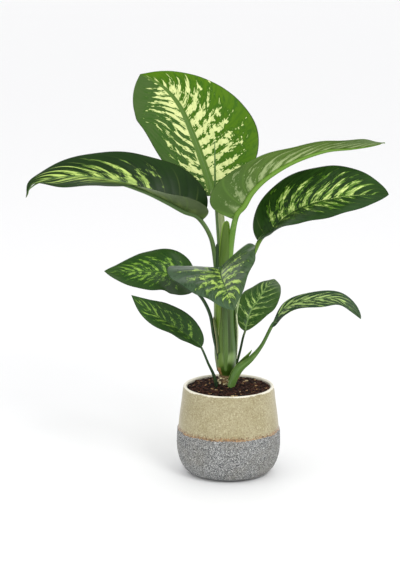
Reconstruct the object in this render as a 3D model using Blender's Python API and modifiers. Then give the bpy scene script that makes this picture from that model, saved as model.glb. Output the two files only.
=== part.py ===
# Potted dieffenbachia: a dumb cane with nine leaves and one rolled new leaf,
# growing out of bark soil in a rounded, half glazed stoneware pot.
# Frame: metres, +Z up, origin at the middle of the pot's flat foot, -Y is the front.

import math

import bmesh
import bpy
from mathutils import Vector

MM = 0.001
FIT_GAP = 0.0003           # clearance between pieces that touch

# Pot
POT_HEIGHT = 0.148
RIM_RADIUS = 0.075
BELLY_RADIUS = 0.0865
BELLY_HEIGHT = 0.054
FOOT_RADIUS = 0.056
WALL = 0.006
FLOOR = 0.009
FLOOR_SHARE = 0.85         # how far out the flat of the floor reaches
BELLY_ROUNDNESS = 2.2      # 2 is an ellipse, more is squarer
SHOULDER_ROUNDNESS = 1.6   # 1 is a straight shoulder
OUTER_HEIGHTS = (0.125, 0.100, 0.076)     # of the shoulder's bends, above the belly
FOOT_HEIGHTS = (0.036, 0.020, 0.010, 0.004, 0.001)
LIP_STEPS = 6
TURN_STEPS = 40
WALL_HEIGHTS = (0.014, 0.024, 0.038, BELLY_HEIGHT, 0.080, 0.110, 0.140)   # of the inner wall's bends

# Soil, filled to a little below the rim and heaped towards the stem
SOIL_EDGE = 0.144
SOIL_HEAP = 0.149
SOIL_CROWN = 0.0005
SOIL_FLAT = 0.025          # radius of the nearly flat middle
SOIL_SLOPE = 0.048         # radius at which it has fallen half way

# Roots: a crown under the stem and the roots that leave it
CROWN_TOP = 0.122
CROWN_DEPTH = 0.030
CROWN_PLACE = (-4.5, 9)    # in mm, under the stem
CROWN_RADIUS = 0.012
CROWN_NECK = 0.55          # how thin the crown's lower end is
ROOT_COUNT = 6
ROOT_START = 0.55          # how far down the crown the roots leave it
ROOT_STAGGER = 3           # in mm, between neighbours
ROOT_REACH = 0.052
ROOT_SHORTER = 0.12        # shares by which the second and third root of each three are shorter
ROOT_BEND = 0.3            # radians that a root swings round on its way
ROOT_DROP = 0.060
ROOT_FALL = [(0.08, 0), (0.45, 0.05), (0.8, 0.35), (1.0, 1.0)]   # shares of the reach and the drop
ROOT_RADIUS = 0.0026
ROOT_TAPER = (1.3, 1.1, 0.8, 0.35)
POCKET_HEADROOM = 30       # in mm, so that the soil is open above the crown

SHARP_ANGLE = 40           # degrees between faces that are shaded as an edge

# Leaves
BLADE_THICKNESS = 0.0012
BLADE_KEEL = 0.0014        # how far the midrib stands out below the blade
BLADE_SIDES = 16
BLADE_RINGS = 14
FRAME_REACH = 0.12         # share of the midrib over which the blade's direction is smoothed
ENDS_KEPT = 0.004          # nearest to base and tip that the blade's slope is taken
ALONG_STEP = 0.003         # shares along and across over which that slope is taken
ACROSS_STEP = 0.02

# The stem's axis and radii, in mm, from below the soil to where the upper stalks part
STEM_ROUTE = [(-4.5, 9, 122.5), (-4.5, 9, 150), (-4.5, 8.5, 165), (-4.7, 8, 178), (-5, 6, 208),
              (-6.3, 3, 262), (-8, 0, 325)]
STEM_RADII = [11, 10.5, 11.5, 16.3, 18, 17.2, 16.8]

# The rolled new leaf that stands in front of the top one
SPEAR_ROUTE = [(-13, -7, 322), (-17.5, -5, 386), (-22.5, -5, 468), (-24, -4, 556)]
SPEAR_RADII = [3.2, 2.4, 2.1, 0.6]

# Each stalk's route from its foot to its leaf, and its radii, in mm
STALKS = {
    "stalk_top": (
        [(-11, 8.5, 322), (-11.5, 13, 354), (-12, 19, 405), (-15.5, 25, 440), (-26, 30, 464.5)],
        [7.2, 6.6, 6, 5.6, 4.6]),
    "stalk_left": (
        [(-19.7, -1.5, 322), (-21.5, -2, 354), (-30, -5, 398), (-50, -8, 430.5)],
        [4.8, 4.6, 3.9, 3.8]),
    "stalk_right_upper": (
        [(-0.5, -3, 322), (-1.5, -4, 350), (3, -6, 393), (11, -8, 433)],
        [7.8, 7.2, 5.8, 4.6]),
    "stalk_right_middle": (
        [(2, 12, 208), (10, 20, 262), (18.5, 23, 303), (32, 27, 341), (52, 30, 388)],
        [4, 4, 3.6, 3.4, 3.6]),
    "stalk_left_middle": (
        [(-11, 0, 172), (-24, -7.5, 229), (-31, -8, 269), (-45, -8, 298), (-60, -5, 311)],
        [3, 3, 2.8, 2.7, 2.6]),
    "stalk_left_lower": (
        [(-18, -9, 130), (-20.5, -9, 148), (-25.5, -12, 169), (-34, -18, 189), (-46, -30, 220)],
        [3.2, 3, 2.5, 2, 1.8]),
    "stalk_front": (
        [(-5, -3, 172), (-6, -19, 240), (-8, -22, 297), (-14, -38.5, 350)],
        [4.5, 4.2, 4, 4]),
    "stalk_right_small": (
        [(6, 12, 154), (18.5, 20, 198), (24, 24, 222), (28, 30, 233.5)],
        [2.2, 2.1, 1.9, 1.9]),
    "stalk_right_lower": (
        [(-1, -12, 128), (4, -13, 150), (16, -18, 179), (37, -24.5, 200), (54, -30.5, 224),
         (69.5, -39.5, 258.5)],
        [5.5, 6, 7, 4.8, 3, 2.8]),
}

# Each leaf: its midrib from stalk to tip in mm, the way its upper side looks at the base and
# at the tip, its left and right halves, seen from above with the tip away, and how far the
# base lobes run back past the stalk, in mm. A half is its greatest width in mm, how many
# degrees it is folded up at the base and at the tip, how many it curls over by its edge, how
# its width falls off towards the base and towards the tip, where small numbers are blunt, and
# how much wider or narrower than that it is at equal steps from base to tip.
LEAVES = {
    "leaf_top": dict(
        midrib=[(-26, 30, 465.5), (-40, 54, 505), (-58, 78, 552), (-81, 98, 601), (-110, 116, 633),
                (-148, 130, 653)],
        faces=[(-0.1, -0.9, 0.3), (0, -0.9, 0.3)], lobes=4,
        left=(80, 8, 8, 10, 0.5, 0.45, (0.75, 0.8, 0.85, 0.88, 0.95, 1.06, 1.12)),
        right=(99, 12, 8, 15, 0.45, 1.0, (1, 1, 1.05, 1.03, 0.88, 0.76, 0.7))),
    "leaf_left": dict(
        midrib=[(-50, -8, 431.5), (-106, -20, 463.5), (-168, -32, 491), (-242, -43, 503.5),
                (-308, -50, 495), (-325, -53, 471)],
        faces=[(-0.3, -0.25, 0.9), (-0.4, -0.35, 0.8)], lobes=8,
        left=(50, 60, -28, 10, 0.3, 0.9, (1.15, 1.02, 1, 1.08, 0.98, 0.1, 0.05)),
        right=(60, 55, 25, 15, 0.3, 1.15, (1.05, 1.1, 1.1, 1.1, 1, 0.68, 0.8))),
    "leaf_right_upper": dict(
        midrib=[(11, -8, 434), (38, -10, 479), (86, -8, 516), (154, 0, 540), (210, 6, 544),
                (252, 10, 551)],
        faces=[(-0.8, 0.3, 0.5), (-0.2, 0.45, 0.85)], lobes=7,
        left=(50, 40, 35, 20, 0.3, 1.1, (1.1, 1.05, 1, 0.9, 0.95, 1.1, 1.2)),
        right=(60, 50, -6, 10, 0.26, 1.1, (1.3, 1.05, 0.86, 0.72, 0.8, 2, 3.5))),
    "leaf_right_middle": dict(
        midrib=[(52.5, 30, 389), (111, 10, 441), (181, -20, 466), (253, -50, 475)],
        faces=[(-0.2, -0.8, 0.5), (-0.2, -0.8, 0.5)], lobes=6,
        left=(66, 15, 15, 20, 0.4, 0.7, (0.86, 0.88, 0.91, 0.95, 1.01, 1.03, 1)),
        right=(50, 75, 5, 10, 0.4, 0.85, (0.8, 0.95, 1.12, 1.15, 1.1, 1.04, 1))),
    "leaf_left_middle": dict(
        midrib=[(-61, -5, 312), (-105, -20, 342), (-153, -40, 348), (-201, -60, 353)],
        faces=[(-0.2, -0.7, 0.7), (-0.2, -0.7, 0.7)], lobes=3,
        left=(46, 42, 0, 15, 0.6, 0.85, (1, 1.08, 1.18, 1.1, 1.04, 0.98, 1)),
        right=(41, 20, 15, 20, 0.45, 0.9, (1, 1.12, 1.08, 0.98, 0.96, 0.8, 0.75))),
    "leaf_left_lower": dict(
        midrib=[(-46, -30, 221), (-83, -50, 256), (-122, -70, 285), (-157, -85, 319)],
        faces=[(-0.3, -0.7, 0.6), (-0.3, -0.7, 0.6)], lobes=1,
        left=(26, 65, 10, 15, 0.5, 0.85, (0.7, 0.8, 0.95, 1, 1.02, 1.05, 0.8)),
        right=(30, 20, 15, 20, 0.45, 0.85, (0.92, 0.94, 0.98, 1.02, 1.02, 0.86, 0.6))),
    "leaf_front": dict(
        midrib=[(-14, -40, 353), (-14, -85, 350), (-9, -130, 343), (-3, -170, 334), (4, -195, 319)],
        faces=[(0.15, -0.2, 1), (0.1, -0.4, 0.9)], lobes=6,
        left=(74, 58, 50, 10, 0.3, 0.9, (0.96, 0.97, 1, 1, 0.94, 0.78, 0.6)),
        right=(84, 4, 4, 10, 0.3, 0.9, (0.88, 1, 1.03, 0.98, 0.94, 0.9, 0.9))),
    "leaf_right_small": dict(
        midrib=[(28, 30, 234), (38, 45, 264), (52, 62, 281), (66, 85, 298), (80, 110, 305)],
        faces=[(-0.2, -0.8, 0.5), (0.1, -0.5, 0.8)], lobes=1,
        left=(29, 20, 10, 20, 0.5, 0.7, (0.95, 0.98, 1, 1, 0.78, 0.58, 0.6)),
        right=(34, 20, 10, 20, 0.6, 0.6, (0.85, 1.02, 1.06, 0.99, 0.94, 0.93, 0.95))),
    "leaf_right_lower": dict(
        midrib=[(70, -40, 259), (90.5, -48, 290), (126, -58, 305), (174, -70, 308), (209, -85, 280)],
        faces=[(-0.3, -0.5, 0.8), (0.3, -0.6, 0.7)], lobes=2,
        left=(19, 30, 30, 20, 0.65, 0.7, (0.35, 0.5, 0.58, 0.68, 0.78, 1.05, 1.6)),
        right=(24, 30, 10, 20, 0.5, 0.75, (0.9, 0.9, 0.78, 0.86, 1.04, 0.55, 0.2))),
}


def clear_scene():
    for item in list(bpy.data.objects):
        bpy.data.objects.remove(item, do_unlink=True)


def new_collection(name):
    collection = bpy.data.collections.new(name)
    bpy.context.scene.collection.children.link(collection)
    return collection


def new_material(name, colour, roughness):
    material = bpy.data.materials.new(name)
    material.use_nodes = True
    shader = material.node_tree.nodes["Principled BSDF"]
    shader.inputs["Base Color"].default_value = (*colour, 1)
    shader.inputs["Roughness"].default_value = roughness
    shader.inputs["Metallic"].default_value = 0.0
    return material


def new_object(name, data, collection):
    item = bpy.data.objects.new(name, data)
    collection.objects.link(item)
    return item


def finish(item, material):
    item.data.materials.append(material)
    if item.type == "MESH":
        item.data.shade_smooth()
        item.data.set_sharp_from_angle(angle=math.radians(SHARP_ANGLE))


def hide_cutter(item):
    item.hide_render = True
    item.display_type = "WIRE"


def subtract(item, cutter):
    modifier = item.modifiers.new("clear_" + cutter.name, "BOOLEAN")
    modifier.operation = "DIFFERENCE"
    modifier.solver = "EXACT"
    modifier.object = cutter


# Turned pieces


def turned(name, profile, collection):
    """A solid of revolution about Z; the profile runs down the outer side and ends on the axis."""
    mesh = bpy.data.meshes.new(name)
    bm = bmesh.new()
    points = [bm.verts.new((radius, 0, height)) for radius, height in profile]
    for first, second in zip(points, points[1:]):
        bm.edges.new((first, second))
    bm.to_mesh(mesh)
    bm.free()
    item = new_object(name, mesh, collection)
    screw = item.modifiers.new("turn", "SCREW")
    screw.steps = TURN_STEPS
    screw.render_steps = TURN_STEPS
    screw.use_merge_vertices = True
    screw.merge_threshold = 0.0001
    return item


def pot_radius(height):
    """Outer radius of the pot: a round belly below, a gently closing shoulder above."""
    if height < BELLY_HEIGHT:
        drop = 1 - height / BELLY_HEIGHT
        swell = (1 - drop ** BELLY_ROUNDNESS) ** (1 / BELLY_ROUNDNESS)
        return FOOT_RADIUS + (BELLY_RADIUS - FOOT_RADIUS) * swell
    rise = (height - BELLY_HEIGHT) / (POT_HEIGHT - BELLY_HEIGHT)
    return BELLY_RADIUS - (BELLY_RADIUS - RIM_RADIUS) * rise ** SHOULDER_ROUNDNESS


def pot_profile():
    """Up the inner wall, over the round lip and down the outer wall to the foot."""
    inner = [(0, FLOOR), (FLOOR_SHARE * (FOOT_RADIUS - WALL), FLOOR)]
    inner += [(pot_radius(height) - WALL, height) for height in WALL_HEIGHTS]
    lip_centre = (RIM_RADIUS - WALL / 2, POT_HEIGHT - WALL / 2)
    lip = [(lip_centre[0] - WALL / 2 * math.cos(angle), lip_centre[1] + WALL / 2 * math.sin(angle))
           for angle in (math.pi * step / LIP_STEPS for step in range(LIP_STEPS + 1))]
    outer = [(pot_radius(height), height)
             for height in (*OUTER_HEIGHTS, BELLY_HEIGHT, *FOOT_HEIGHTS)]
    return inner + lip + outer + [(FOOT_RADIUS, 0), (0, 0)]


def soil_profile():
    """A heaped top, the sides along the pot's inner wall and a flat bottom."""
    top = [(0, SOIL_HEAP), (SOIL_FLAT, SOIL_HEAP - SOIL_CROWN), (SOIL_SLOPE, (SOIL_HEAP + SOIL_EDGE) / 2),
           (RIM_RADIUS - WALL - 2 * FIT_GAP, SOIL_EDGE)]
    side = [(pot_radius(height) - WALL - FIT_GAP, height + FIT_GAP) for height in reversed(WALL_HEIGHTS)]
    bottom = FLOOR + FIT_GAP
    return top + side + [(FLOOR_SHARE * (FOOT_RADIUS - WALL), bottom), (0, bottom)]


# Stalks, stem and roots


def tube(name, route, radii, collection, grow=0.0, sides=2, steps=4):
    """A tapering tube through the route's points, both given in mm, with closed ends.

    A pocket for it is the same tube grown all round, its ends too.
    """
    route = [Vector(place) for place in route]
    if grow:
        route[0] += (route[0] - route[1]).normalized() * grow / MM
        route[-1] += (route[-1] - route[-2]).normalized() * grow / MM
    curve = bpy.data.curves.new(name, "CURVE")
    curve.dimensions = "3D"
    curve.bevel_depth = 1.0
    curve.bevel_resolution = sides
    curve.use_fill_caps = True
    curve.resolution_u = steps
    spline = curve.splines.new("BEZIER")
    spline.bezier_points.add(len(route) - 1)
    for point, place, radius in zip(spline.bezier_points, route, radii):
        point.co = place * MM
        point.handle_left_type = point.handle_right_type = "AUTO"
        point.radius = radius * MM + grow
    return new_object(name, curve, collection)


def as_mesh(item, collection):
    """The curve object remade as a mesh object with its caps welded on."""
    bpy.context.view_layer.update()
    evaluated = item.evaluated_get(bpy.context.evaluated_depsgraph_get())
    mesh = bpy.data.meshes.new_from_object(evaluated)
    bm = bmesh.new()
    bm.from_mesh(mesh)
    bmesh.ops.remove_doubles(bm, verts=bm.verts, dist=0.00001)
    bmesh.ops.recalc_face_normals(bm, faces=bm.faces)
    bm.to_mesh(mesh)
    bm.free()
    name = item.name
    matrix = item.matrix_world.copy()
    bpy.data.objects.remove(item, do_unlink=True)
    remade = new_object(name, mesh, collection)
    remade.matrix_world = matrix
    return remade


def root_routes():
    """Routes and radii in mm of the roots, which leave the crown sideways and then dive."""
    routes = []
    for index in range(ROOT_COUNT):
        turn = math.tau * (index + 0.25) / ROOT_COUNT
        reach = ROOT_REACH * (1 - ROOT_SHORTER * (index % 3)) / MM
        start = (CROWN_TOP - ROOT_START * CROWN_DEPTH) / MM - ROOT_STAGGER * (index % 2)
        drop = ROOT_DROP / MM
        route = [(CROWN_PLACE[0] + reach * out * math.cos(turn + ROOT_BEND * out),
                  CROWN_PLACE[1] + reach * out * math.sin(turn + ROOT_BEND * out),
                  start - drop * down) for out, down in ROOT_FALL]
        routes.append((route, [ROOT_RADIUS / MM * share for share in ROOT_TAPER]))
    return routes


def roots(name, collection, grow=0.0):
    """The crown with its roots joined to it."""
    low, middle, top = ((CROWN_TOP - share * CROWN_DEPTH) / MM for share in (1, 0.6, 0))
    if grow:
        top += POCKET_HEADROOM
    crown_radius = CROWN_RADIUS / MM
    route = [(*CROWN_PLACE, height) for height in (low, middle, top)]
    radii = [crown_radius * CROWN_NECK, crown_radius, crown_radius]
    crown = as_mesh(tube(name, route, radii, collection, grow), collection)
    for index, (route, radii) in enumerate(root_routes()):
        root = as_mesh(tube(name + "_%d" % index, route, radii, cutters, grow), cutters)
        hide_cutter(root)
        union = crown.modifiers.new("join_%d" % index, "BOOLEAN")
        union.operation = "UNION"
        union.solver = "EXACT"
        union.object = root
    return crown


# Leaves


def smooth_point(points, share):
    """Point of the smooth curve through the points, share running from 0 to 1."""
    spans = len(points) - 1
    index = min(int(share * spans), spans - 1)
    part = share * spans - index
    start, end = points[index], points[index + 1]
    before = points[index - 1] if index else start * 2 - end
    after = points[index + 2] if index + 2 <= spans else end * 2 - start
    return 0.5 * (2 * start + (end - before) * part
                  + (2 * before - 5 * start + 4 * end - after) * part ** 2
                  + (3 * start - before - 3 * end + after) * part ** 3)


def blade_width(along, towards_base, towards_tip, swells):
    """Share of a half's greatest width at a place along the midrib."""
    widest = towards_base / (towards_base + towards_tip)
    plain = (along / widest) ** towards_base * ((1 - along) / (1 - widest)) ** towards_tip
    return plain * smooth_point(swells, along)


def blade_point(leaf, along, across):
    """Middle surface of the blade: along runs 0 to 1 to the tip, across 1 (left) to -1 (right)."""
    midrib = [Vector(point) * MM for point in leaf["midrib"]]
    spot = smooth_point(midrib, along)
    ahead = smooth_point(midrib, min(along + FRAME_REACH, 1))
    ahead -= smooth_point(midrib, max(along - FRAME_REACH, 0))
    ahead.normalize()
    face = Vector(leaf["faces"][0]).lerp(Vector(leaf["faces"][1]), along)
    side = face.cross(ahead).normalized()
    up = ahead.cross(side)
    width, fold_base, fold_tip, curl, *outline = leaf["left"] if across > 0 else leaf["right"]
    half = width * MM * blade_width(along, *outline)
    fold = math.radians(fold_base + (fold_tip - fold_base) * along)
    curl = math.radians(curl)
    reach = abs(across)
    out = half * (math.sin(fold) - math.sin(fold - curl * reach)) / curl
    rise = half * (math.cos(fold - curl * reach) - math.cos(fold)) / curl
    back = leaf["lobes"] * MM * reach ** 1.5 * (1 - along) ** 8
    return spot + side * math.copysign(out, across) + up * rise - ahead * back


def blade(name, leaf, collection):
    """A sphere drawn out and flattened to the leaf: its poles are the leaf's base and tip."""
    mesh = bpy.data.meshes.new(name)
    bm = bmesh.new()
    bmesh.ops.create_uvsphere(bm, u_segments=BLADE_SIDES, v_segments=BLADE_RINGS, radius=1)
    for vert in bm.verts:
        along = min(max((1 - vert.co.z) / 2, 0), 1)
        ring = math.hypot(vert.co.x, vert.co.y)
        at_pole = ring < 0.001
        across = 0.0 if at_pole else vert.co.x / ring
        height = 0.0 if at_pole else vert.co.y / ring
        inside = min(max(along, ENDS_KEPT), 1 - ENDS_KEPT)
        run = blade_point(leaf, inside + ALONG_STEP, across) - blade_point(leaf, inside - ALONG_STEP, across)
        sweep = blade_point(leaf, inside, across + ACROSS_STEP)
        sweep -= blade_point(leaf, inside, across - ACROSS_STEP)
        normal = run.cross(sweep).normalized()
        lift = height * BLADE_THICKNESS / 2
        if height < -0.99:      # the middle of the underside
            lift -= BLADE_KEEL * (1 - along)
        vert.co = blade_point(leaf, along, across) + normal * lift
    bmesh.ops.recalc_face_normals(bm, faces=bm.faces)
    bm.to_mesh(mesh)
    bm.free()
    return new_object(name, mesh, collection)


# Assembly

clear_scene()
parts = new_collection("potted_dieffenbachia")
cutters = new_collection("cutters")

stem_pocket = as_mesh(tube("stem_pocket", STEM_ROUTE, STEM_RADII, cutters, FIT_GAP, sides=5), cutters)
root_pocket = roots("root_pocket", cutters, FIT_GAP)
for pocket in (stem_pocket, root_pocket):
    hide_cutter(pocket)

pot = turned("pot", pot_profile(), parts)
finish(pot, new_material("stoneware", (0.52, 0.47, 0.30), 0.35))

soil = turned("soil", soil_profile(), parts)
finish(soil, new_material("bark_soil", (0.045, 0.018, 0.010), 0.95))
subtract(soil, stem_pocket)
subtract(soil, root_pocket)

finish(roots("roots", parts), new_material("root_white", (0.62, 0.52, 0.36), 0.7))

stem_green = new_material("stem_green", (0.16, 0.33, 0.05), 0.35)
finish(tube("main_stem", STEM_ROUTE, STEM_RADII, parts, sides=5), stem_green)

new_leaf = as_mesh(tube("new_leaf", SPEAR_ROUTE, SPEAR_RADII, parts), parts)
finish(new_leaf, new_material("new_leaf_green", (0.05, 0.16, 0.03), 0.35))
subtract(new_leaf, stem_pocket)

for stalk_name, (stalk_route, stalk_radii) in STALKS.items():
    stalk = as_mesh(tube(stalk_name, stalk_route, stalk_radii, parts), parts)
    finish(stalk, stem_green)
    subtract(stalk, stem_pocket)
    if stalk_route[0][2] * MM < SOIL_EDGE:
        pocket_tube = tube("pocket_" + stalk_name, stalk_route, stalk_radii, cutters, FIT_GAP)
        stalk_pocket = as_mesh(pocket_tube, cutters)
        hide_cutter(stalk_pocket)
        subtract(soil, stalk_pocket)

leaf_green = new_material("leaf_green", (0.06, 0.20, 0.03), 0.3)
for leaf_name, leaf_shape in LEAVES.items():
    finish(blade(leaf_name, leaf_shape, parts), leaf_green)
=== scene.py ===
import math
import random

import bmesh
import bpy
import numpy as np
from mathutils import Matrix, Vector, noise


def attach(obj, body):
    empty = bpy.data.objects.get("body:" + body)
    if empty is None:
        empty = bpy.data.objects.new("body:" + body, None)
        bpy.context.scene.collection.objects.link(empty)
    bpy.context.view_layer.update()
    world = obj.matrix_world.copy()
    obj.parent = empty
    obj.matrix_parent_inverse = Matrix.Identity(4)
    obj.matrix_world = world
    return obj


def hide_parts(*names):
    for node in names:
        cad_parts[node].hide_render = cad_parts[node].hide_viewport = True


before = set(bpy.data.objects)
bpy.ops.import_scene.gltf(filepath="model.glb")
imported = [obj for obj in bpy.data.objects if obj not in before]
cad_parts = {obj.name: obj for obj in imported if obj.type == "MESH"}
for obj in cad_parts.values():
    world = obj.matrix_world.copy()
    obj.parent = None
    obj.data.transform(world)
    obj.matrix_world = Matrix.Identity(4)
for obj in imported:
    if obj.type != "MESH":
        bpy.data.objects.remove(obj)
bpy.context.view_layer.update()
mm = 0.001


def points(*places):
    return [Vector(place) * mm for place in places]


def tone(red, green, blue):  # a screen colour from 0 to 255 as the linear colour that sockets take
    return (*[((c / 255 + 0.055) / 1.055) ** 2.4 if c > 10 else c / 3294.6 for c in (red, green, blue)], 1)


def smoothPoint(route, share):  # a place on the smooth curve through all the points of a route
    spans = len(route) - 1
    index = min(int(share * spans), spans - 1)
    part = share * spans - index
    start, end = route[index], route[index + 1]
    before = route[index - 1] if index else start * 2 - end
    after = route[index + 2] if index + 2 <= spans else end * 2 - start
    return 0.5 * (2 * start + (end - before) * part
                  + (2 * before - 5 * start + 4 * end - after) * part ** 2
                  + (3 * start - before - 3 * end + after) * part ** 3)


def nodeName(pieceName):  # leafRightUpper stands for leaf_right_upper
    return "".join("_" + letter.lower() if letter.isupper() else letter for letter in pieceName)


def ease(value, low, high):  # 0 up to low, 1 from high on, smooth between; low may be the larger
    share = min(max((value - low) / (high - low), 0), 1)
    return share * share * (3 - 2 * share)


class Wire:  # one socket of a material, so that shader sums read as plain Python
    def __init__(self, tree, socket=None):
        self.tree, self.socket = tree, socket

    def node(self, kind, settings=None, inputs=None, output=0):  # settings first, then values or links
        made = self.tree.nodes.new(kind)
        for name, value in (settings or {}).items():
            setattr(made, name, value)
        for name, value in (inputs or {}).items():
            if isinstance(value, Wire):
                self.tree.links.new(value.socket, made.inputs[name])
            else:
                made.inputs[name].default_value = value
        return Wire(self.tree, made.outputs[output] if len(made.outputs) else None)

    def sums(self, operation, first, second=0.0):
        return self.node("ShaderNodeMath", {"operation": operation}, {0: first, 1: second})

    def __add__(self, other):
        return self.sums("ADD", self, other)

    def __sub__(self, other):
        return self.sums("SUBTRACT", self, other)

    def __rsub__(self, other):
        return self.sums("SUBTRACT", other, self)

    def __mul__(self, other):
        return self.sums("MULTIPLY", self, other)

    def __truediv__(self, other):
        return self.sums("DIVIDE", self, other)

    def __pow__(self, other):
        return self.sums("POWER", self, other)

    def __gt__(self, other):
        return self.sums("GREATER_THAN", self, other)

    def __abs__(self):
        return self.sums("ABSOLUTE", self)

    __radd__, __rmul__ = __add__, __mul__

    def ripple(self):  # 0 at whole numbers, 1 half way between them
        return 1 - abs(self.sums("FRACT", self) * 2 - 1)

    def rise(self, low, high):  # 0 up to low, 1 from high on, smooth between; low may be the larger
        return self.node("ShaderNodeMapRange", {"interpolation_type": "SMOOTHSTEP"},
                         {"Value": self, "From Min": low, "From Max": high})

    def mix(self, first, second):  # this mask blends two colours
        return self.node("ShaderNodeMix", {"data_type": "RGBA"}, {0: self, 6: first, 7: second}, 2)

    def lay(self, base, colour, low, high, share):  # a colour covers part of another where this value rises
        return (self.rise(low, high) * share).mix(base, colour)

    def attribute(self, name):
        return self.node("ShaderNodeAttribute", {"attribute_name": name}, None, 1)

    def place(self):
        return self.node("ShaderNodeTexCoord", None, None, 3)

    def parts(self):
        split = self.node("ShaderNodeSeparateXYZ", None, {0: self}).socket.node
        return [Wire(self.tree, socket) for socket in split.outputs]

    def join(self, x, y, z):
        return self.node("ShaderNodeCombineXYZ", None, {0: x, 1: y, 2: z})

    def noise(self, vector, scale, detail=3.0, roughness=0.6, distortion=0.0):
        return self.node("ShaderNodeTexNoise", None, {
            "Vector": vector, "Scale": scale, "Detail": detail,
            "Roughness": roughness, "Distortion": distortion})

    def fibres(self, turn, run, across, along, seed, scale):  # noise drawn out along a stalk
        return self.noise(self.join(turn * across, run * along, seed), scale)

    def cells(self, vector, scale, output=0):
        return self.node("ShaderNodeTexVoronoi", None, {"Vector": vector, "Scale": scale}, output)

    def bump(self, height, distance, strength):
        return self.node("ShaderNodeBump", None, {
            "Height": height, "Distance": distance, "Strength": strength})


def newMaterial(name):
    material = bpy.data.materials.new(name)
    material.use_nodes = True
    material.node_tree.nodes.clear()
    return material, Wire(material.node_tree)


shaderSockets = {
    "colour": "Base Color", "roughness": "Roughness", "normal": "Normal", "specular": "Specular IOR Level"}


def dress(wire, **sockets):  # ends a material with its shader
    shader = wire.node("ShaderNodeBsdfPrincipled", None,
                       {shaderSockets[name]: value for name, value in sockets.items()})
    wire.node("ShaderNodeOutputMaterial", None, {"Surface": shader})


def addPiece(name, bm, material, slotName, *cadNodes):
    mesh = bpy.data.meshes.new(name)
    bm.to_mesh(mesh)
    bm.free()
    mesh.shade_smooth()
    mesh.materials.append(material)
    piece = bpy.data.objects.new(name, mesh)
    bpy.context.scene.collection.objects.link(piece)
    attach(piece, "root")
    if cadNodes:
        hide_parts(*cadNodes)
    print("made", name, len(mesh.vertices), "points")


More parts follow.
